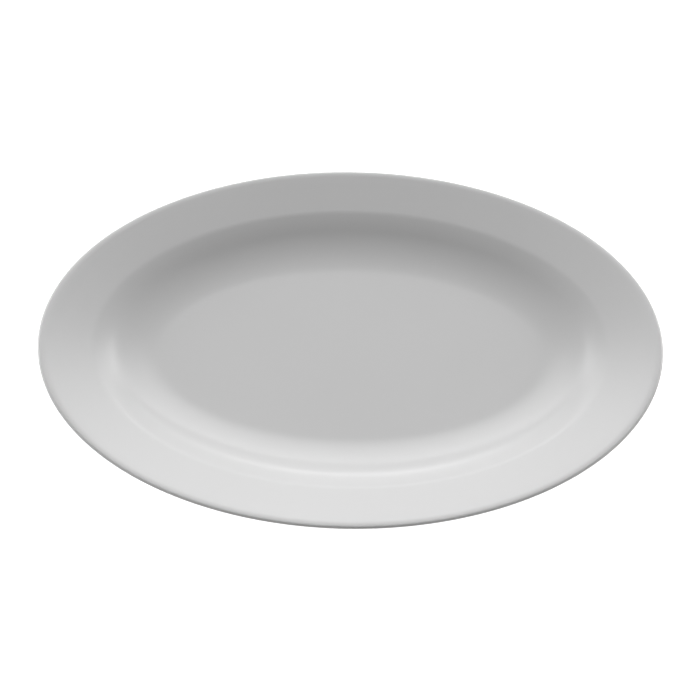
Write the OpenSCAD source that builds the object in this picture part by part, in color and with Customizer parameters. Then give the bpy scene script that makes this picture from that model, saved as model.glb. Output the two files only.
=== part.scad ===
// Oval china serving platter: a fired porcelain body with a foot ring, and the
// glaze that coats it everywhere except on the tread that it stands on.
// Millimetres, +Z up, X along the length. The origin is the middle of the
// platter, on the surface that it stands on.

/* [Outline] */
// Overall length over the glazed lip
length = 360; // [300:5:420]
// Overall width over the glazed lip
width = 231; // [200:1:280]

/* [Rim] */
// Width of the rim at the two ends, from the lip to where it turns down
rim_end_w = 29.5; // [26:0.5:38]
// Width of the rim at the two long sides, from the lip to where it turns down
rim_side_w = 24.5; // [20:0.5:32]
// Slope of the rim, rising outwards, in degrees
rim_slope = 11.5; // [7:0.5:14]
// Slope at which the top of the lip falls away outwards, in degrees
lip_fall = 1; // [0:1:12]
// Radius of the slow curve that levels the rim off at the lip
roll_r = 14; // [10:1:20]
// Radius of the lip's nose above its outermost line
nose_r = 1.3; // [1.2:0.1:2]
// Radius of the lip's nose below its outermost line
chin_r = 1.9; // [1.4:0.1:2.2]

/* [Well] */
// Slope where the tight shoulder runs out into the wall, in degrees
shoulder_slope = 23; // [18:1:25]
// Steepest slope of the wall, in degrees
wall_slope = 28.5; // [27:0.5:32]
// Radius of the shoulder between rim and wall
shoulder_r = 16; // [10:1:22]
// Radius of the long full curve of the wall
wall_r = 100; // [60:5:120]
// Radius of the hollow curve from the wall into the floor
cove_r = 53; // [44:1:58]
// Width of the wall at the ends for each millimetre of it at the sides
end_stretch = 1.06; // [0.95:0.01:1.15]
// Thickness under the shoulder, glaze included
shoulder_t = 4.4; // [3.8:0.1:5]
// Thickness of the floor, glaze included
floor_t = 5.2; // [4.6:0.1:6]

/* [Foot] */
// Height of the glazed recess above the table
foot_h = 3.2; // [2.8:0.1:4]
// Width of the bare tread that touches the table
tread_w = 3; // [2.4:0.1:4]
// Draft of the foot's two walls, in degrees
foot_draft = 22; // [12:1:30]
// Radius of the hollow corners beside the foot
foot_fillet = 2; // [1.2:0.1:2.4]
// Radius of the tread's two edges
tread_edge = 0.6; // [0.4:0.1:0.8]

/* [Glaze] */
// Thickness of the fired glaze
glaze_t = 0.3; // [0.2:0.05:0.4]
// Height above the table at which the glaze stops
glaze_line = 1; // [0.9:0.1:1.3]

/* [Hidden] */
glaze_colour = [0.93, 0.93, 0.93];
bisque_colour = [0.86, 0.84, 0.81];

// Facets round the oval, a multiple of four so that all four extremes are corners
around = 72;
// Steps along each curve of the section
cove_steps = 6;
wall_steps = 3;
shoulder_steps = 3;
lip_steps = 3;
chin_steps = 4;
fillet_steps = 3;
edge_steps = 2;
// The foot starts this many steps along the cove, counted from the wall
foot_step = 4;
// Depth to which the tool that cuts the recess reaches below the table
below = 1;

// A station on the section is [s, z, n]: s is the distance in from the lip at
// the middle of a long side, z is the height, and n is the direction in which
// the surface faces. 180 faces out, 90 faces up and 270 faces down.
UP = 90;
OUT = 180;
DOWN = 270;

floor_z = foot_h + floor_t;
rim_n = UP - rim_slope;
shoulder_n = UP - shoulder_slope;
wall_n = UP - wall_slope;
fall_n = UP + lip_fall;

function facing(n) = [cos(n), sin(n)];
function place(st) = [st[0], st[1]];
function last(list) = list[len(list) - 1];
function part_of(list, from, to) = [for (i = [from:to]) list[i]];
function reversed(list) = [for (i = [len(list) - 1:-1:0]) list[i]];
function moved(list, by) = [for (st = list) [st[0] + by[0], st[1] + by[1], st[2]]];

// Stations after st along an arc that ends facing n. A full curve has r above
// zero and a hollow one has r below zero.
function arc(st, r, n, steps) = [
    for (i = [1:steps])
        let (turned = st[2] + (n - st[2]) * i / steps)
        let (at = place(st) + r * (facing(turned) - facing(st[2])))
        [at[0], at[1], turned]
];

// The station reached by going straight on, which keeps its facing
function ahead(st, distance) =
    [st[0] + distance * cos(st[2] + 90), st[1] + distance * sin(st[2] + 90), st[2]];

// The same section, sunk below its surface by depth
function sunk(list, depth) = [
    for (st = list)
        let (at = place(st) - depth * facing(st[2]))
        [at[0], at[1], st[2]]
];

// Face of the platter: floor edge, cove, wall, shoulder, rim and lip
cove = arc([0, 0, UP], -cove_r, wall_n, cove_steps);
wall = arc(last(cove), wall_r, shoulder_n, wall_steps);
shoulder = arc(last(wall), shoulder_r, rim_n, shoulder_steps);
lip_reach = -roll_r * (cos(fall_n) - cos(rim_n)) - nose_r * (cos(OUT) - cos(fall_n));
rim_edge = ahead(last(shoulder), (rim_side_w - lip_reach) / cos(rim_slope));
roll = arc(rim_edge, roll_r, fall_n, lip_steps);
nose = arc(last(roll), nose_r, OUT, lip_steps);
face = moved(
    concat([[0, 0, UP]], cove, wall, shoulder, [rim_edge], roll, nose),
    [-last(nose)[0], floor_z]
);

// Underside: the face again, one wall thickness lower, as far as the foot
well_w = face[0][0];
shoulder_i = cove_steps + wall_steps + shoulder_steps;
foot_i = cove_steps - foot_step;
function thickness(s) =
    shoulder_t + (floor_t - shoulder_t) * (s - rim_side_w) / (well_w - rim_side_w);
under = [
    for (i = [shoulder_i:-1:foot_i])
        let (st = face[i], at = place(st) - thickness(st[0]) * facing(st[2]))
        [at[0], at[1], st[2] + 180]
];

// The lip's chin, turned until it runs straight at the underside of the shoulder
chin_centre = place(last(face)) - chin_r * facing(OUT);
chin_run = place(under[0]) - chin_centre;
chin_n = DOWN + atan2(chin_run[1], chin_run[0]) + asin(chin_r / norm(chin_run));
chin = arc(last(face), chin_r, chin_n, chin_steps);

// Outer side of the foot, down to the line where the glaze stops
foot_n = OUT + foot_draft;
fillet = arc(last(under), -foot_fillet, foot_n, fillet_steps);
function down_to(st, z) = ahead(st, (st[1] - z) / cos(foot_draft));
skirt = down_to(last(fillet), glaze_line);
outer_coat = concat(face, chin, under, fillet, [skirt]);

// The bare body under that coat, and the tread's outer edge
outer_bisque = sunk(outer_coat, glaze_t);
edge_rise = tread_edge * (1 - sin(foot_draft));
edge_start = down_to(last(outer_bisque), edge_rise);
outer_edge = concat([edge_start], arc(edge_start, tread_edge, DOWN, edge_steps));

// Recess inside the foot, from the tread's inner edge up to its flat ceiling.
// Its stations face out of the porcelain, so the wall faces in.
inner_n = 360 - foot_draft;
tread_in = last(outer_edge)[0] + tread_w;
inner_edge = arc([tread_in, 0, DOWN], tread_edge, inner_n, edge_steps);
ceiling_z = foot_h + glaze_t;
corner_rise = foot_fillet * (1 - sin(foot_draft));
inner_top = ahead(
    last(inner_edge),
    (ceiling_z - corner_rise - last(inner_edge)[1]) / cos(foot_draft)
);
corner = arc(inner_top, -foot_fillet, DOWN, fillet_steps);
recess_cut = concat([[tread_in, -below, 0], [tread_in, 0, 0]], inner_edge, [inner_top], corner);
inner_line = ahead(last(inner_edge), (glaze_line - last(inner_edge)[1]) / cos(foot_draft));
recess_wall = concat([inner_line, inner_top], corner);

// Half length and half width of the oval through a station. The rim is wider
// at the ends than at the sides, and the difference fades out at the shoulder.
end_extra = rim_end_w - end_stretch * rim_side_w;
function half_length(s) =
    length / 2 - end_stretch * s - end_extra * sin(90 * min(s / rim_side_w, 1));
function half_width(s) = width / 2 - s;
function ring(st) = [
    for (i = [0:around - 1])
        let (turn = 360 * i / around)
        [half_length(st[0]) * cos(turn), half_width(st[0]) * sin(turn), st[1]]
];

// Closed solid through a section's rings. Its first ring is capped facing up
// and its last ring is capped facing down.
module oval_loft(section) {
    corners = [for (st = section) each ring(st)];
    top = [for (i = [around - 1:-1:0]) i];
    bottom = [for (i = [0:around - 1]) (len(section) - 1) * around + i];
    sides = [
        for (row = [0:len(section) - 2], i = [0:around - 1])
            let (next = (i + 1) % around, here = row * around, below = here + around)
            each [[here + i, here + next, below + next], [here + i, below + next, below + i]]
    ];
    polyhedron(corners, concat([top], sides, [bottom]));
}

// Porcelain body: floor, wall, rim and foot in one fired piece
module porcelain_body() {
    color(bisque_colour) difference() {
        oval_loft(concat(outer_bisque, outer_edge));
        oval_loft(reversed(recess_cut));
    }
}

// Glaze over the face, round the lip and down the back to the foot
module outer_glaze() {
    color(glaze_colour) oval_loft(concat(outer_coat, reversed(outer_bisque)));
}

// Glaze inside the foot, over the recess's wall and ceiling
module recess_glaze() {
    color(glaze_colour)
        oval_loft(concat(reversed(recess_wall), sunk(recess_wall, -glaze_t)));
}

porcelain_body();
outer_glaze();
recess_glaze();
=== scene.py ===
"""Finished look of an oval china serving platter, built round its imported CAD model.

The platter is swept from one section: floor, cove, wall, shoulder, rim, lip,
underside and foot. The glaze over the face and back, the glaze inside the foot
and the bare porcelain between them are separate closed pieces.
"""
import math
from typing import NamedTuple

import bpy
from bpy.props import FloatProperty, FloatVectorProperty, IntProperty, PointerProperty
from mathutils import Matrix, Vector


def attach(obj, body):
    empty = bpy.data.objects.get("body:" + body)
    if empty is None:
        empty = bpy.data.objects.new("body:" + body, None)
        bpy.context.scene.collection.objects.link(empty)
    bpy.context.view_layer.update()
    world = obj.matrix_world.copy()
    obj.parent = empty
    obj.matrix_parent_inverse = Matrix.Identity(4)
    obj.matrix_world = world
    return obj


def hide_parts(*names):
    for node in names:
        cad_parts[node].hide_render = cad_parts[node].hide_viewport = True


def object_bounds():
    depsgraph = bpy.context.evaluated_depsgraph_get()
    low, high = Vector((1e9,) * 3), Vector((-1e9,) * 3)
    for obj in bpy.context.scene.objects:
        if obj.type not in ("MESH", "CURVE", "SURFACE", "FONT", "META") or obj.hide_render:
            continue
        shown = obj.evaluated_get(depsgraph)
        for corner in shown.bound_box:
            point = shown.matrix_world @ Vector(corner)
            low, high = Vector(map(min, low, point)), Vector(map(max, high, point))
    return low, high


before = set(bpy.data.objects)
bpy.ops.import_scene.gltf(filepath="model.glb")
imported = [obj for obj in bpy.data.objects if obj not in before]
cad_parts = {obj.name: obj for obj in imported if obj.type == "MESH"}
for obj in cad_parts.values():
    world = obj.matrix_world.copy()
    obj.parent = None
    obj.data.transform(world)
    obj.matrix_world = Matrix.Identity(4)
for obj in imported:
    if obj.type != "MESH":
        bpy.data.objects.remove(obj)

bl_info = {
    "name": "China Serving Platter",
    "version": (1, 0, 0),
    "blender": (4, 5, 0),
    "location": "3D View > Sidebar > Platter",
    "description": "Sweeps and glazes an oval china serving platter",
    "category": "Add Mesh",
}

MM = 0.001
UP = math.radians(90)
OUT = math.radians(180)
DOWN = math.radians(270)
FULL_TURN = math.radians(360)

CAD_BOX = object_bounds()
CAD_LENGTH = CAD_BOX[1].x - CAD_BOX[0].x
CAD_WIDTH = CAD_BOX[1].y - CAD_BOX[0].y
CAD_HEIGHT = CAD_BOX[1].z - CAD_BOX[0].z


def length_prop(name, description, default):
    """A distance in metres that the sidebar shows with its unit."""
    return FloatProperty(
        name=name, description=description, default=default,
        unit="LENGTH", subtype="DISTANCE", precision=5,
    )


def angle_prop(name, description, degrees):
    """An angle, kept in radians and shown in degrees."""
    return FloatProperty(
        name=name, description=description, default=math.radians(degrees), subtype="ANGLE",
    )


def colour_prop(name, description, default):
    """A linear colour."""
    return FloatVectorProperty(
        name=name, description=description, default=default,
        size=4, min=0, max=1, subtype="COLOR",
    )


def power_prop(name, description, default):
    """Brightness of a light. A sky of 1 all round shows a white surface as white."""
    return FloatProperty(name=name, description=description, default=default, min=0)


class PlatterShape(bpy.types.PropertyGroup):
    """Sizes of the section and the oval."""

    length: length_prop("Length", "Overall length over the glazed lip", CAD_LENGTH)
    width: length_prop("Width", "Overall width over the glazed lip", CAD_WIDTH)
    height: length_prop("Height", "From the tread to the top of the lip", CAD_HEIGHT)
    rim_end_w: length_prop("Rim at the ends", "Lip to where the rim turns down", 29.5 * MM)
    rim_side_w: length_prop("Rim at the sides", "Lip to where the rim turns down", 24.5 * MM)
    rim_slope: angle_prop("Rim slope", "Rise of the rim, outwards", 11.5)
    lip_fall: angle_prop("Lip fall", "Slope at which the lip falls away outwards", 1)
    roll_r: length_prop("Lip roll", "Radius that levels the rim off at the lip", 14 * MM)
    nose_r: length_prop("Nose", "Radius of the lip above its outermost line", 1.3 * MM)
    chin_r: length_prop("Chin", "Radius of the lip below its outermost line", 1.9 * MM)
    shoulder_slope: angle_prop("Shoulder slope", "Where the shoulder meets the wall", 23)
    wall_slope: angle_prop("Wall slope", "Steepest slope of the wall", 28.5)
    shoulder_r: length_prop("Shoulder", "Radius between rim and wall", 16 * MM)
    wall_r: length_prop("Wall fullness", "Radius of the wall's long curve", 100 * MM)
    cove_r: length_prop("Cove", "Radius from the wall into the floor", 53 * MM)
    end_stretch: FloatProperty(
        name="End stretch", default=1.06,
        description="Width of the wall at the ends for each unit of it at the sides",
    )
    shoulder_t: length_prop("Shoulder thickness", "Glaze included", 4.4 * MM)
    floor_t: length_prop("Floor thickness", "Glaze included", 5.2 * MM)
    foot_h: length_prop("Foot height", "Glazed recess above the table", 3.2 * MM)
    tread_w: length_prop("Tread width", "Bare ring that touches the table", 3 * MM)
    foot_draft: angle_prop("Foot draft", "Lean of the foot's two walls", 22)
    foot_fillet: length_prop("Foot fillet", "Hollow corners beside the foot", 2 * MM)
    tread_edge: length_prop("Tread edge", "Radius of the tread's edges", 0.6 * MM)
    glaze_t: length_prop("Glaze thickness", "Thickness of the fired glaze", 0.3 * MM)
    glaze_line: length_prop("Glaze line", "Height at which the glaze stops", 1 * MM)
    waver: length_prop("Glaze line waver", "How far the glaze line wanders", 0.35 * MM)
    around: IntProperty(
        name="Facets", description="Facets round the oval, a multiple of four",
        default=256, min=64, max=320, subtype="UNSIGNED",
    )


class PlatterFinish(bpy.types.PropertyGroup):
    """Colours and surface of the glaze and of the bare porcelain."""

    glaze: colour_prop("Glaze", "Glazed porcelain", (0.800, 0.800, 0.800, 1))
    thin_glaze: colour_prop("Thin glaze", "Where glaze thins over an edge", (0.70, 0.69, 0.67, 1))
    speck: colour_prop("Specks", "Stray grains fired into the glaze", (0.42, 0.38, 0.33, 1))
    bisque: colour_prop("Bisque", "Unglazed porcelain", (0.76, 0.74, 0.71, 1))
    rubbed: colour_prop("Rubbed", "Grey of the tread where it slides", (0.40, 0.39, 0.38, 1))
    gloss: FloatProperty(
        name="Glaze roughness", description="Roughness of clean glaze",
        default=0.11, min=0, max=1, subtype="FACTOR",
    )
    ripple: length_prop("Ripple", "Height of the glaze's slow ripple", 0.012 * MM)


class PlatterStudio(bpy.types.PropertyGroup):
    """Camera and light."""

    lens: FloatProperty(
        name="Lens", description="Focal length", default=100, min=20, unit="CAMERA",
    )
    distance: length_prop("Camera distance", "From the aim point", 1.116)
    elevation: angle_prop("Camera elevation", "Above the table", 62.8)
    azimuth: angle_prop("Camera azimuth", "Away from straight on", 1.06)
    aim_y: length_prop("Aim", "How far in front of the middle the camera aims", -5.8 * MM)
    light_turn: angle_prop("Light turn", "How far the lamps behind stand to the left", 3)
    side: power_prop("Side lamps", "Brightness of the two lamps behind left and right", 6.1)
    side_azimuth: angle_prop("Side azimuth", "From straight behind to each lamp's middle", 63)
    side_spread: angle_prop("Side spread", "From a lamp's middle to where it ends sideways", 36)
    side_elevation: angle_prop("Side elevation", "Of the lamps' middles", 22)
    side_rise: angle_prop("Side rise", "From a lamp's middle to where it ends upwards", 26)
    strip: power_prop("Low strip", "Brightness of the strip along the table's far edge", 5.3)
    strip_half: angle_prop("Strip half width", "From straight behind to its ends", 53)
    strip_high: angle_prop("Strip height", "Elevation of its upper edge", 8.5)
    panel: power_prop("Panel", "Brightness of the broad panel behind the platter", 1.95)
    panel_half: angle_prop("Panel half width", "From straight behind to its sides", 30)
    panel_low: angle_prop("Panel foot", "Elevation of its lower edge", 28)
    panel_high: angle_prop("Panel head", "Elevation of its upper edge", 59.5)
    fill: power_prop("Fill", "Brightness of the fill round the camera", 0.27)
    fill_lean: angle_prop("Fill lean", "Tilt of the fill from overhead towards the camera", 27)
    room: power_prop("Room", "Brightness of the room above the table", 0.06)
    bounce: power_prop("Bounce", "Light that comes up from the table", 0.98)
    floor_glow: power_prop("Floor glow", "Light that the pale floor gives off", 0.9)


# ---------------------------------------------------------------- section


class Station(NamedTuple):
    """A point on the section: s in from the lip, z up, and n, where the surface faces."""

    s: float
    z: float
    n: float


def arc(start, radius, n, steps):
    """Stations after start along an arc that ends facing n. A hollow arc has a radius below zero."""
    made = []
    for i in range(1, steps + 1):
        turned = start.n + (n - start.n) * i / steps
        s = start.s + radius * (math.cos(turned) - math.cos(start.n))
        z = start.z + radius * (math.sin(turned) - math.sin(start.n))
        made.append(Station(s, z, turned))
    return made


def ahead(start, distance):
    """The station reached by going straight on."""
    along = start.n + UP
    return Station(
        start.s + distance * math.cos(along), start.z + distance * math.sin(along), start.n
    )


def sunk(stations, depth):
    """The same section, below its surface by depth."""
    return [
        Station(st.s - depth * math.cos(st.n), st.z - depth * math.sin(st.n), st.n)
        for st in stations
    ]


class Section:
    """The platter's section in runs of stations, with detail steps for each coarse one."""

    COVE_STEPS, WALL_STEPS, SHOULDER_STEPS = 6, 3, 3
    LIP_STEPS, CHIN_STEPS, FILLET_STEPS, EDGE_STEPS = 3, 4, 3, 2
    # the foot starts this many coarse steps along the cove, counted from the wall
    FOOT_STEP = 4

    def __init__(self, shape, detail):
        self.shape = shape
        self.detail = detail
        self.floor_z = shape.foot_h + shape.floor_t
        self.face = self.make_face()
        self.well_w = self.face[0].s
        self.back = self.make_back()
        self.coat = self.face + self.back
        self.bisque = sunk(self.coat, shape.glaze_t)
        self.outer_edge = self.make_outer_edge()
        self.inner_edge, self.recess_wall = self.make_recess()

    def make_face(self):
        """Floor edge, cove, wall, shoulder, rim and lip, out to the outermost line."""
        shape, fine = self.shape, self.detail
        rim_n = UP - shape.rim_slope
        fall_n = UP + shape.lip_fall
        floor_edge = Station(0, 0, UP)
        cove = arc(floor_edge, -shape.cove_r, UP - shape.wall_slope, self.COVE_STEPS * fine)
        wall = arc(cove[-1], shape.wall_r, UP - shape.shoulder_slope, self.WALL_STEPS * fine)
        shoulder = arc(wall[-1], shape.shoulder_r, rim_n, self.SHOULDER_STEPS * fine)
        lip_reach = (
            shape.roll_r * (math.cos(rim_n) - math.cos(fall_n))
            + shape.nose_r * (math.cos(fall_n) - math.cos(OUT))
        )
        rim_edge = ahead(shoulder[-1], (shape.rim_side_w - lip_reach) / math.cos(shape.rim_slope))
        roll = arc(rim_edge, shape.roll_r, fall_n, self.LIP_STEPS * fine)
        nose = arc(roll[-1], shape.nose_r, OUT, self.LIP_STEPS * fine)
        face = [floor_edge, *cove, *wall, *shoulder, rim_edge, *roll, *nose]
        reach = nose[-1].s
        return [Station(st.s - reach, st.z + self.floor_z, st.n) for st in face]

    def thickness(self, s):
        """Thickness of the wall, which grows from the shoulder to the floor."""
        shape = self.shape
        share = (s - shape.rim_side_w) / (self.well_w - shape.rim_side_w)
        return shape.shoulder_t + (shape.floor_t - shape.shoulder_t) * share

    def make_back(self):
        """Chin, underside and the foot's outer wall, down to where the glaze stops."""
        shape, fine = self.shape, self.detail
        first = (self.COVE_STEPS - self.FOOT_STEP) * fine
        last = (self.COVE_STEPS + self.WALL_STEPS + self.SHOULDER_STEPS) * fine
        under = []
        for st in reversed(self.face[first:last + 1]):
            lower = sunk([st], self.thickness(st.s))[0]
            under.append(Station(lower.s, lower.z, st.n + OUT))
        lip = self.face[-1]
        run_s = under[0].s - (lip.s + shape.chin_r)
        run_z = under[0].z - lip.z
        chin_n = DOWN + math.atan2(run_z, run_s) + math.asin(shape.chin_r / math.hypot(run_s, run_z))
        chin = arc(lip, shape.chin_r, chin_n, self.CHIN_STEPS * fine)
        fillet = arc(
            under[-1], -shape.foot_fillet, OUT + shape.foot_draft, self.FILLET_STEPS * fine
        )
        skirt = self.down_to(fillet[-1], shape.glaze_line)
        return [*chin, *under, *fillet, skirt]

    def down_to(self, start, z):
        """Straight on along the foot's wall to the height z."""
        return ahead(start, abs(start.z - z) / math.cos(self.shape.foot_draft))

    def make_outer_edge(self):
        """Bare foot below the glaze, and the tread's outer edge."""
        shape = self.shape
        rise = shape.tread_edge * (1 - math.sin(shape.foot_draft))
        start = self.down_to(self.bisque[-1], rise)
        return [start, *arc(start, shape.tread_edge, DOWN, self.EDGE_STEPS * self.detail)]

    def make_recess(self):
        """The tread's inner edge, and the bare recess wall from the glaze line to the ceiling."""
        shape, fine = self.shape, self.detail
        inner_n = FULL_TURN - shape.foot_draft
        tread_in = Station(self.outer_edge[-1].s + shape.tread_w, 0, DOWN)
        edge = [tread_in, *arc(tread_in, shape.tread_edge, inner_n, self.EDGE_STEPS * fine)]
        ceiling = shape.foot_h + shape.glaze_t
        corner_rise = shape.foot_fillet * (1 - math.sin(shape.foot_draft))
        top = self.down_to(edge[-1], ceiling - corner_rise)
        corner = arc(top, -shape.foot_fillet, DOWN, self.FILLET_STEPS * fine)
        line = self.down_to(edge[-1], shape.glaze_line)
        return edge, [line, top, *corner]


def bead(start, thickness, way, steps):
    """The rounded edge of a coat that stops at start. way is 1 where the coat comes from
    behind start along the section, and -1 where it goes on ahead of it."""
    back = ahead(start, -way * thickness)
    return [back, *arc(back, thickness, start.n + way * UP, steps)]


# ------------------------------------------------------------------ nodes


class Wire:
    """A node's output that arithmetic can be written on. Each operator adds one Math node."""

    def __init__(self, maker, socket):
        self.maker = maker
        self.socket = socket

    def __add__(self, other):
        return self.maker.maths("ADD", self, other)

    def __radd__(self, other):
        return self.maker.maths("ADD", other, self)

    def __sub__(self, other):
        return self.maker.maths("SUBTRACT", self, other)

    def __rsub__(self, other):
        return self.maker.maths("SUBTRACT", other, self)

    def __mul__(self, other):
        return self.maker.maths("MULTIPLY", self, other)

    def __rmul__(self, other):
        return self.maker.maths("MULTIPLY", other, self)

    def __truediv__(self, other):
        return self.maker.maths("DIVIDE", self, other)

    def __rtruediv__(self, other):
        return self.maker.maths("DIVIDE", other, self)

    def __pow__(self, other):
        return self.maker.maths("POWER", self, other)

    def __rpow__(self, other):
        return self.maker.maths("POWER", other, self)

    def __gt__(self, other):
        return self.maker.maths("GREATER_THAN", self, other)

    def __lt__(self, other):
        return self.maker.maths("LESS_THAN", self, other)

    def __abs__(self):
        return self.maker.maths("ABSOLUTE", self)

    def cos(self):
        return self.maker.maths("COSINE", self)

    def sin(self):
        return self.maker.maths("SINE", self)

    def at_most(self, limit):
        return self.maker.maths("MINIMUM", self, limit)

    def at_least(self, limit):
        return self.maker.maths("MAXIMUM", self, limit)

    def ramp(self, low, high):
        """0 below low, 1 above high, and a smooth rise between them."""
        return self.maker.node(
            "ShaderNodeMapRange",
            {"interpolation_type": "SMOOTHSTEP"},
            {"Value": self, "From Min": low, "From Max": high},
        )


class NodeMaker:
    """Adds nodes to one tree, which it empties first."""

    def __init__(self, tree):
        self.tree = tree
        tree.nodes.clear()

    def node(self, kind, settings=None, inputs=None, output=0):
        """Adds a node, with its settings first and then its sockets' values or links."""
        node = self.tree.nodes.new(kind)
        for name, value in (settings or {}).items():
            setattr(node, name, value)
        for name, value in (inputs or {}).items():
            self.feed(node.inputs[name], value)
        return Wire(self, node.outputs[output]) if node.outputs else node

    def feed(self, socket, value):
        """Links a wire to the socket, or sets a plain value on it."""
        if isinstance(value, Wire):
            self.tree.links.new(value.socket, socket)
        else:
            socket.default_value = value

    def maths(self, operation, *values):
        """A Math node on the values, in order."""
        return self.node("ShaderNodeMath", {"operation": operation}, dict(enumerate(values)))

    def other(self, wire, output):
        """Another output of the node that wire comes from."""
        return Wire(self, wire.socket.node.outputs[output])

    def noise(self, where, scale, detail=2.0, roughness=0.5):
        """Smooth noise from 0 to 1, with scale features to the metre."""
        return self.node(
            "ShaderNodeTexNoise", {"noise_dimensions": "3D"},
            {"Vector": where, "Scale": scale, "Detail": detail, "Roughness": roughness},
        )

    def mix(self, factor, low, high):
        """Blend of two colours. Its sockets share names, and only those of its type are enabled."""
        node = self.tree.nodes.new("ShaderNodeMix")
        node.data_type = "RGBA"
        by_name = {"Factor": factor, "A": low, "B": high}
        for socket in node.inputs:
            if socket.enabled and socket.name in by_name:
                self.feed(socket, by_name[socket.name])
        return Wire(self, next(socket for socket in node.outputs if socket.enabled))


# ------------------------------------------------------------------ sweep


SWEEP_INPUTS = (
    ("Section", "NodeSocketObject"),
    ("Finish", "NodeSocketMaterial"),
    ("Facets", "NodeSocketInt"),
    ("Half length", "NodeSocketFloat"),
    ("Half width", "NodeSocketFloat"),
    ("End stretch", "NodeSocketFloat"),
    ("End extra", "NodeSocketFloat"),
    ("Rim width", "NodeSocketFloat"),
    ("Waver", "NodeSocketFloat"),
    ("Seed", "NodeSocketFloat"),
)
# waves of the glaze line for each radian round the oval
WAVER_SCALE = 4.5
# points closer than this are one point, such as all those at a flat face's middle
WELD = 0.002 * MM
# the lip's nose and chin face between these two directions
THIN_FROM = math.radians(95)
THIN_TO = math.radians(265)
# how thin the glaze runs where it stops, when 1 is as thin as on the lip
EDGE_THINNESS = 0.6


def named_float(maker, name):
    """A number kept on each point of the section."""
    return maker.node(
        "GeometryNodeInputNamedAttribute", {"data_type": "FLOAT"}, {"Name": name}
    )


def oval_sweep_tree():
    """Node tree that sweeps a section round an oval whose rim is wider at the ends."""
    tree = bpy.data.node_groups.new("oval_sweep", "GeometryNodeTree")
    tree.interface.new_socket("Geometry", in_out="INPUT", socket_type="NodeSocketGeometry")
    tree.interface.new_socket("Geometry", in_out="OUTPUT", socket_type="NodeSocketGeometry")
    for name, kind in SWEEP_INPUTS:
        tree.interface.new_socket(name, in_out="INPUT", socket_type=kind)
    maker = NodeMaker(tree)
    entry = maker.node("NodeGroupInput")
    given = {name: maker.other(entry, name) for name, kind in SWEEP_INPUTS}

    section = maker.node(
        "GeometryNodeObjectInfo", {"transform_space": "ORIGINAL"},
        {"Object": given["Section"]}, output="Geometry",
    )
    section_line = maker.node("GeometryNodeMeshToCurve", None, {"Mesh": section})
    circle = maker.node(
        "GeometryNodeCurvePrimitiveCircle", {"mode": "RADIUS"}, {"Resolution": given["Facets"]}
    )
    index = maker.node("GeometryNodeInputIndex")
    circle = maker.node(
        "GeometryNodeStoreNamedAttribute", {"data_type": "FLOAT", "domain": "POINT"},
        {"Geometry": circle, "Name": "turn", "Value": index * FULL_TURN / given["Facets"]},
    )
    swept = maker.node(
        "GeometryNodeCurveToMesh", None, {"Curve": circle, "Profile Curve": section_line}
    )

    inset = named_float(maker, "inset")
    spread = named_float(maker, "spread")
    turn = named_float(maker, "turn")
    fade = (inset / given["Rim width"]).at_most(1.0)
    half_length = (
        given["Half length"] - given["End stretch"] * inset
        - given["End extra"] * (fade * UP).sin()
    )
    x = half_length * spread * turn.cos()
    y = (given["Half width"] - inset) * spread * turn.sin()
    round_it = maker.node(
        "ShaderNodeCombineXYZ", None, {"X": turn.cos(), "Y": turn.sin(), "Z": given["Seed"]}
    )
    wander = maker.noise(round_it, WAVER_SCALE, detail=3.0) * 2.0 - 1.0
    z = named_float(maker, "level") + named_float(maker, "loose") * given["Waver"] * wander
    place = maker.node("ShaderNodeCombineXYZ", None, {"X": x, "Y": y, "Z": z})
    shaped = maker.node(
        "GeometryNodeSetPosition", None, {"Geometry": swept, "Position": place}
    )
    closed = maker.node(
        "GeometryNodeMergeByDistance", None, {"Geometry": shaped, "Distance": WELD}
    )
    smooth = maker.node("GeometryNodeSetShadeSmooth", None, {"Geometry": closed})
    real = maker.node("GeometryNodeRealizeInstances", None, {"Geometry": smooth})
    dressed = maker.node(
        "GeometryNodeSetMaterial", None, {"Geometry": real, "Material": given["Finish"]}
    )
    maker.node("NodeGroupOutput", None, {"Geometry": dressed})
    return tree


class Ring(NamedTuple):
    """A ring of the sweep: its place, its share of full size, how loose its level is, and
    how thin the glaze runs there."""

    s: float
    z: float
    spread: float = 1.0
    loose: float = 0.0
    thin: float = 0.0


def rings(stations):
    """Full-size rings through the stations."""
    return [Ring(st.s, st.z) for st in stations]


def coat_rings(stations, lip):
    """Full-size rings whose glaze is thinnest where it goes round the lip, of thickness lip."""
    made = []
    for st in stations:
        share = min(max((st.n - THIN_FROM) / (THIN_TO - THIN_FROM), 0), 1)
        thin = math.sin(share * OUT) ** 2 if st.s < lip else 0
        made.append(Ring(st.s, st.z, thin=thin))
    return made


def edge_rings(stations):
    """Rings of a coat's edge, which wanders and where the glaze runs thin."""
    return [Ring(st.s, st.z, loose=1.0, thin=EDGE_THINNESS) for st in stations]


def cap(edge, count):
    """Rings that close a flat face, from its middle out to the ring before edge."""
    return [Ring(edge.s, edge.z, i / count) for i in range(count)]


def section_object(name, section):
    """A line through the section's rings, as a mesh that holds each ring's numbers."""
    mesh = bpy.data.meshes.new(name)
    # each ring gets a place of its own, so that no two ends of the line are merged
    points = [(i * MM, 0, 0) for i in range(len(section))]
    mesh.from_pydata(points, [(i, i + 1) for i in range(len(section) - 1)], [])
    for label, values in (
        ("inset", [ring.s for ring in section]),
        ("level", [ring.z for ring in section]),
        ("spread", [ring.spread for ring in section]),
        ("loose", [ring.loose for ring in section]),
        ("thin", [ring.thin for ring in section]),
    ):
        layer = mesh.attributes.new(label, "FLOAT", "POINT")
        layer.data.foreach_set("value", values)
    line = bpy.data.objects.new(name, mesh)
    bpy.context.scene.collection.objects.link(line)
    return line


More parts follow.
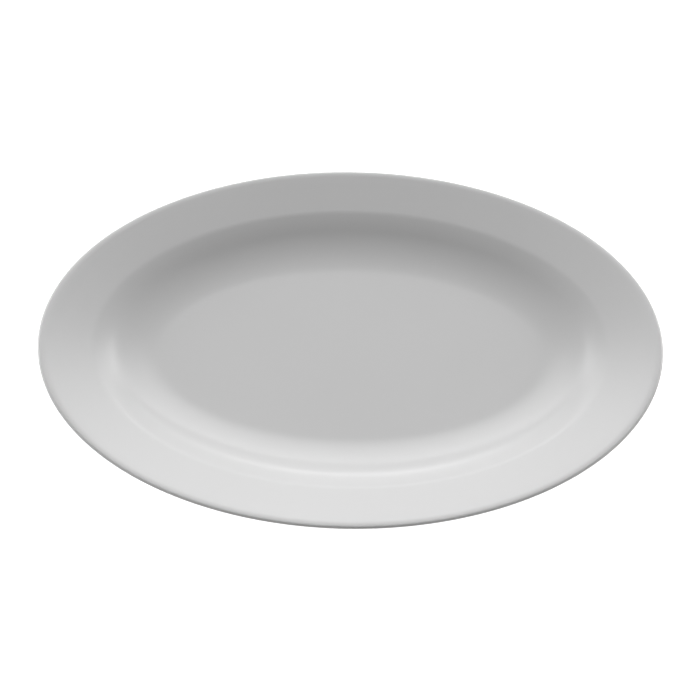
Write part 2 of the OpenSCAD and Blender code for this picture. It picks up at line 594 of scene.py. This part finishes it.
def sweep(name, section, shape, finish, seed):
    """Sweeps the section round the oval and returns it as a plain mesh object."""
    line = section_object(name + "_section", section)
    tree = oval_sweep_tree()
    host = bpy.data.objects.new(name + "_sweep", bpy.data.meshes.new(name + "_sweep"))
    bpy.context.scene.collection.objects.link(host)
    modifier = host.modifiers.new("oval sweep", "NODES")
    modifier.node_group = tree
    values = {
        "Section": line,
        "Finish": finish,
        "Facets": shape.around,
        "Half length": shape.length / 2,
        "Half width": shape.width / 2,
        "End stretch": shape.end_stretch,
        "End extra": shape.rim_end_w - shape.end_stretch * shape.rim_side_w,
        "Rim width": shape.rim_side_w,
        "Waver": shape.waver,
        "Seed": seed,
    }
    for item in tree.interface.items_tree:
        if item.in_out == "INPUT" and item.name in values:
            modifier[item.identifier] = values[item.name]
    ready = host.evaluated_get(bpy.context.evaluated_depsgraph_get())
    mesh = bpy.data.meshes.new_from_object(ready)
    mesh.name = name
    for label in ("inset", "level", "spread", "loose", "turn"):
        if label in mesh.attributes:
            mesh.attributes.remove(mesh.attributes[label])
    bpy.data.objects.remove(host)
    bpy.data.objects.remove(line)
    bpy.data.node_groups.remove(tree)
    if not mesh.polygons:
        raise RuntimeError(f"the sweep of {name} made no faces")
    piece = bpy.data.objects.new(name, mesh)
    bpy.context.scene.collection.objects.link(piece)
    return piece


def declare(piece, node):
    """Hangs the piece under the root body and hides the CAD node that it stands for."""
    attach(piece, "root")
    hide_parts(node)


# -------------------------------------------------------------- materials


WHITE = (1, 1, 1, 1)
PALE = (0.85, 0.85, 0.85, 1)
GLAZE_IOR = 1.52
BISQUE_IOR = 1.5
BISQUE_ROUGHNESS = 0.78
BISQUE_GRAIN = 0.02 * MM
# the peel's height as a share of the ripple's
PEEL_SHARE = 0.05
# what each mark shows of its colour where it is strongest
CLOUD_SHARE = 0.5
THIN_SHARE = 0.6
SPECK_SHARE = 0.8
GRAIN_SHARE = 0.25
RUB_SHARE = 0.75
# the sizes of a speck's core and of its edge, in cells of the specks' pattern
SPECK_CORE = 0.006
SPECK_EDGE = 0.012
# cells whose random number lies above this one have a speck
SPECK_CHANCE = 0.965
# how much duller the glaze is in its dullest patches, and smoother the tread where it is rubbed
DULLING = 0.03
RUB_POLISH = 0.2


def faded(colour, share):
    """The same colour, darker."""
    return [part * share for part in colour[:3]] + [1]


def new_material(name):
    """An empty node material and its maker."""
    material = bpy.data.materials.new(name)
    material.use_nodes = True
    return material, NodeMaker(material.node_tree)


def glaze_material(finish):
    """Clear glaze fired over white porcelain: glossy, slowly rippled, thin round the lip."""
    material, maker = new_material("fired_glaze")
    where = maker.node("ShaderNodeTexCoord", output="Object")
    ripple = maker.noise(where, scale=70.0, roughness=0.4)
    peel = maker.noise(where, scale=420.0)
    height = ripple * finish.ripple + peel * (finish.ripple * PEEL_SHARE)
    normal = maker.node("ShaderNodeBump", None, {"Height": height, "Distance": 1.0})

    cloud = maker.noise(where, scale=12.0).ramp(low=0.3, high=0.7)
    base = maker.mix(cloud * CLOUD_SHARE, finish.glaze, faded(finish.glaze, share=0.975))
    thin = maker.node(
        "ShaderNodeAttribute", {"attribute_type": "GEOMETRY", "attribute_name": "thin"},
        output="Fac",
    )
    patchy = (maker.noise(where, scale=150.0, detail=3.0) + 1.0) * 0.5
    base = maker.mix(thin * patchy * THIN_SHARE, base, finish.thin_glaze)

    cells = maker.node(
        "ShaderNodeTexVoronoi", {"feature": "F1"}, {"Vector": where, "Scale": 45.0}
    )
    chosen = maker.node(
        "ShaderNodeSeparateColor", None, {"Color": maker.other(cells, "Color")}
    )
    speck = (1.0 - cells.ramp(SPECK_CORE, SPECK_EDGE)) * (chosen > SPECK_CHANCE)
    base = maker.mix(speck * SPECK_SHARE, base, finish.speck)

    dull = maker.noise(where, scale=30.0, detail=4.0, roughness=0.6).ramp(low=0.35, high=0.75)
    shader = maker.node(
        "ShaderNodeBsdfPrincipled", None,
        {
            "Base Color": base,
            "Roughness": finish.gloss + dull * DULLING,
            "Normal": normal,
            "IOR": GLAZE_IOR,
        },
    )
    maker.node("ShaderNodeOutputMaterial", None, {"Surface": shader})
    return material


def bisque_material(finish, tread_edge):
    """Bare fired porcelain: matte and fine grained, rubbed grey where the tread slides."""
    material, maker = new_material("bare_porcelain")
    where = maker.node("ShaderNodeTexCoord", output="Object")
    level = maker.node("ShaderNodeSeparateXYZ", None, {"Vector": where}, output="Z")
    tread = 1.0 - level.ramp(low=0.02 * MM, high=tread_edge * 0.4)
    patchy = maker.noise(where, scale=90.0, detail=5.0, roughness=0.65).ramp(low=0.42, high=0.66)
    grain = maker.noise(where, scale=2600.0, detail=3.0)
    base = maker.mix(grain * GRAIN_SHARE, finish.bisque, faded(finish.bisque, share=0.86))
    base = maker.mix(tread * patchy * RUB_SHARE, base, finish.rubbed)
    normal = maker.node(
        "ShaderNodeBump", None, {"Height": grain * BISQUE_GRAIN, "Distance": 1.0}
    )
    shader = maker.node(
        "ShaderNodeBsdfPrincipled", None,
        {
            "Base Color": base,
            "Roughness": BISQUE_ROUGHNESS - tread * RUB_POLISH,
            "Normal": normal,
            "IOR": BISQUE_IOR,
        },
    )
    maker.node("ShaderNodeOutputMaterial", None, {"Surface": shader})
    return material


def floor_material(glow):
    """Plain pale studio floor that gives off a little light of its own."""
    material, maker = new_material("pale_floor")
    shader = maker.node(
        "ShaderNodeBsdfPrincipled", None,
        {
            "Base Color": PALE,
            "Roughness": 1.0,
            "Specular IOR Level": 0.0,
            "Emission Color": WHITE,
            "Emission Strength": glow,
        },
    )
    maker.node("ShaderNodeOutputMaterial", None, {"Surface": shader})
    return material


# ----------------------------------------------------------------- studio


FLOOR_HALF = 4.0
BACKDROP_GLOW = 1.2
SENSOR_WIDTH = 36.0
# how far on either side of its edge each light fades
STRIP_END_FADE = math.radians(15)
STRIP_TOP_FADE = math.radians(5)
PANEL_SIDE_FADE = math.radians(27)
PANEL_FOOT_FADE = math.radians(4)
PANEL_HEAD_FADE = math.radians(9)
# the fill falls off as this power of the cosine from its middle
FILL_TIGHTNESS = 8.0


def hump(value, middle, reach):
    """1 at the middle, and fading smoothly to 0 at reach on either side of it."""
    return value.ramp(middle - reach, middle) * (1.0 - value.ramp(middle, middle + reach))


def edge_up(value, at, fade):
    """0 below at and 1 above it, with fade on either side."""
    return value.ramp(at - fade, at + fade)


def studio_world(studio):
    """Soft lights all round the platter, in a dim room. The camera sees plain white."""
    world = bpy.data.worlds.new("studio")
    world.use_nodes = True
    maker = NodeMaker(world.node_tree)
    way = maker.node("ShaderNodeTexCoord", output="Generated")
    split = maker.node("ShaderNodeSeparateXYZ", None, {"Vector": way})
    x, y, z = (maker.other(split, axis) for axis in "XYZ")
    elevation = maker.maths("ARCSINE", z)
    sideways = abs(maker.maths("ARCTAN2", x, y) + studio.light_turn)

    side = (
        hump(sideways, studio.side_azimuth, studio.side_spread)
        * hump(elevation, studio.side_elevation, studio.side_rise)
    )
    strip = (
        (1.0 - edge_up(sideways, studio.strip_half, STRIP_END_FADE))
        * (1.0 - edge_up(elevation, studio.strip_high, STRIP_TOP_FADE))
    )
    panel = (
        (1.0 - edge_up(sideways, studio.panel_half, PANEL_SIDE_FADE))
        * edge_up(elevation, studio.panel_low, PANEL_FOOT_FADE)
        * (1.0 - edge_up(elevation, studio.panel_high, PANEL_HEAD_FADE))
    )
    lean = studio.fill_lean
    fill = (z * math.cos(lean) - y * math.sin(lean)).at_least(0.0) ** FILL_TIGHTNESS
    light = (
        studio.room + side * studio.side + strip * studio.strip
        + panel * studio.panel + fill * studio.fill
    )
    below = z < 0.0
    light = light * (1.0 - below) + below * studio.bounce

    shine = maker.node("ShaderNodeBackground", None, {"Color": WHITE, "Strength": light})
    plain = maker.node("ShaderNodeBackground", None, {"Color": WHITE, "Strength": BACKDROP_GLOW})
    seen = maker.node("ShaderNodeLightPath", output="Is Camera Ray")
    shown = maker.node("ShaderNodeMixShader", None, {0: seen, 1: shine, 2: plain})
    maker.node("ShaderNodeOutputWorld", None, {"Surface": shown})
    bpy.context.scene.world = world


def studio_floor(studio):
    """A wide plain floor at the height that the tread stands on."""
    level = CAD_BOX[0].z
    mesh = bpy.data.meshes.new("studio_floor")
    corners = [
        (x * FLOOR_HALF, y * FLOOR_HALF, level)
        for x, y in ((-1, -1), (1, -1), (1, 1), (-1, 1))
    ]
    mesh.from_pydata(corners, [], [(0, 1, 2, 3)])
    mesh.materials.append(floor_material(studio.floor_glow))
    floor = bpy.data.objects.new("studio_floor", mesh)
    bpy.context.scene.collection.objects.link(floor)
    # the world stands for the table's light, so the floor's own glow reaches the camera alone
    floor.visible_diffuse = False
    floor.visible_glossy = False


def studio_camera(studio):
    """A long lens that looks down on the platter from in front."""
    data = bpy.data.cameras.new("studio_camera")
    data.lens = studio.lens
    data.sensor_width = SENSOR_WIDTH
    camera = bpy.data.objects.new("studio_camera", data)
    bpy.context.scene.collection.objects.link(camera)
    aim = Vector((0, studio.aim_y, CAD_BOX[1].z))
    flat = math.cos(studio.elevation)
    towards = Vector((
        flat * math.sin(studio.azimuth), -flat * math.cos(studio.azimuth), math.sin(studio.elevation)
    ))
    camera.location = aim + towards * studio.distance
    camera.rotation_euler = towards.to_track_quat("Z", "Y").to_euler()
    bpy.context.scene.camera = camera


# ----------------------------------------------------------------- pieces


# steps of a section for each one of its coarse steps: shown surfaces are fine, hidden ones coarse
FINE = 4
COARSE = 1
CAP_RINGS = 8
BEAD_STEPS = 5


def fit_height(section, shape):
    """The section's rings, scaled in height to the height that the frame has."""
    top = max(st.z for st in Section(shape, FINE).face)
    return [ring._replace(z=ring.z * shape.height / top) for ring in section]


def outer_glaze_rings(shape):
    """Face, lip and back of the coat, its beaded edge, and its hidden side."""
    shown, hidden = Section(shape, FINE), Section(shape, COARSE)
    edge = bead(shown.coat[-1], shape.glaze_t, 1, BEAD_STEPS)
    return (
        cap(shown.coat[0], CAP_RINGS)
        + coat_rings(shown.coat[:-1], shape.nose_r + shape.chin_r)
        + edge_rings(edge)
        + rings(reversed(hidden.bisque[:-1]))
        + cap(hidden.bisque[0], CAP_RINGS)[::-1]
    )


def recess_glaze_rings(shape):
    """Coat of the recess: its hidden side, its beaded edge, and its shown side."""
    shown, hidden = Section(shape, FINE), Section(shape, COARSE)
    surface = sunk(shown.recess_wall, -shape.glaze_t)
    edge = bead(surface[0], shape.glaze_t, -1, BEAD_STEPS)
    return (
        cap(hidden.recess_wall[-1], CAP_RINGS)
        + rings(reversed(hidden.recess_wall[1:]))
        + edge_rings(edge)[::-1]
        + rings(surface[1:])
        + cap(surface[-1], CAP_RINGS)[::-1]
    )


def porcelain_rings(shape):
    """Bare body under the glaze, down to the tread and up into the recess."""
    hidden, shown = Section(shape, COARSE), Section(shape, FINE)
    return (
        cap(hidden.bisque[0], CAP_RINGS)
        + rings(hidden.bisque)
        + rings(shown.outer_edge)
        + rings(shown.inner_edge)
        + rings(hidden.recess_wall[1:])
        + cap(hidden.recess_wall[-1], CAP_RINGS)[::-1]
    )


def glaze():
    """The one glaze material that both coats share."""
    found = bpy.data.materials.get("fired_glaze")
    return found or glaze_material(bpy.context.scene.platter_finish)


# -------------------------------------------------------------- operators


class PLATTER_OT_outer_glaze(bpy.types.Operator):
    """Sweep the glaze over the face, round the lip and down the back"""

    bl_idname = "platter.outer_glaze"
    bl_label = "Outer glaze"

    def execute(self, context):
        shape = context.scene.platter_shape
        section = fit_height(outer_glaze_rings(shape), shape)
        piece = sweep("glaze_coat", section, shape, glaze(), seed=3.0)
        declare(piece, "outer_glaze")
        return {"FINISHED"}


class PLATTER_OT_recess_glaze(bpy.types.Operator):
    """Sweep the glaze over the recess inside the foot"""

    bl_idname = "platter.recess_glaze"
    bl_label = "Recess glaze"

    def execute(self, context):
        shape = context.scene.platter_shape
        section = fit_height(recess_glaze_rings(shape), shape)
        piece = sweep("recess_coat", section, shape, glaze(), seed=7.0)
        declare(piece, "recess_glaze")
        return {"FINISHED"}


class PLATTER_OT_porcelain_body(bpy.types.Operator):
    """Sweep the porcelain body, whose foot ring stands bare on the table"""

    bl_idname = "platter.porcelain_body"
    bl_label = "Porcelain body"

    def execute(self, context):
        shape, finish = context.scene.platter_shape, context.scene.platter_finish
        section = fit_height(porcelain_rings(shape), shape)
        bare = bisque_material(finish, shape.tread_edge)
        piece = sweep("bare_foot_body", section, shape, bare, seed=0.0)
        declare(piece, "porcelain_body")
        return {"FINISHED"}


class PLATTER_OT_studio(bpy.types.Operator):
    """Set up the camera, the lights and the pale floor"""

    bl_idname = "platter.studio"
    bl_label = "Studio"

    def execute(self, context):
        studio = context.scene.platter_studio
        studio_camera(studio)
        studio_world(studio)
        studio_floor(studio)
        context.scene.view_settings.view_transform = "Standard"
        return {"FINISHED"}


class PLATTER_PT_sidebar(bpy.types.Panel):
    """Buttons that build the platter, and the sizes and colours that they use"""

    bl_idname = "PLATTER_PT_sidebar"
    bl_label = "Serving platter"
    bl_space_type = "VIEW_3D"
    bl_region_type = "UI"
    bl_category = "Platter"

    def draw(self, context):
        for name in STEPS:
            self.layout.operator("platter." + name)
        for group in GROUPS:
            settings = getattr(context.scene, group)
            column = self.layout.column(align=True)
            for name in settings.bl_rna.properties.keys():
                if name not in ("name", "rna_type"):
                    column.prop(settings, name)


STEPS = ("studio", "porcelain_body", "outer_glaze", "recess_glaze")
GROUPS = {
    "platter_shape": PlatterShape,
    "platter_finish": PlatterFinish,
    "platter_studio": PlatterStudio,
}
CLASSES = (
    *GROUPS.values(),
    PLATTER_OT_studio,
    PLATTER_OT_porcelain_body,
    PLATTER_OT_outer_glaze,
    PLATTER_OT_recess_glaze,
    PLATTER_PT_sidebar,
)


def register():
    for item in CLASSES:
        bpy.utils.register_class(item)
    for name, group in GROUPS.items():
        setattr(bpy.types.Scene, name, PointerProperty(type=group))


def unregister():
    for name in GROUPS:
        delattr(bpy.types.Scene, name)
    for item in reversed(CLASSES):
        bpy.utils.unregister_class(item)


def main():
    """Builds the platter and its studio."""
    register()
    for name in STEPS:
        getattr(bpy.ops.platter, name)()


if __name__ == "__main__":
    main()
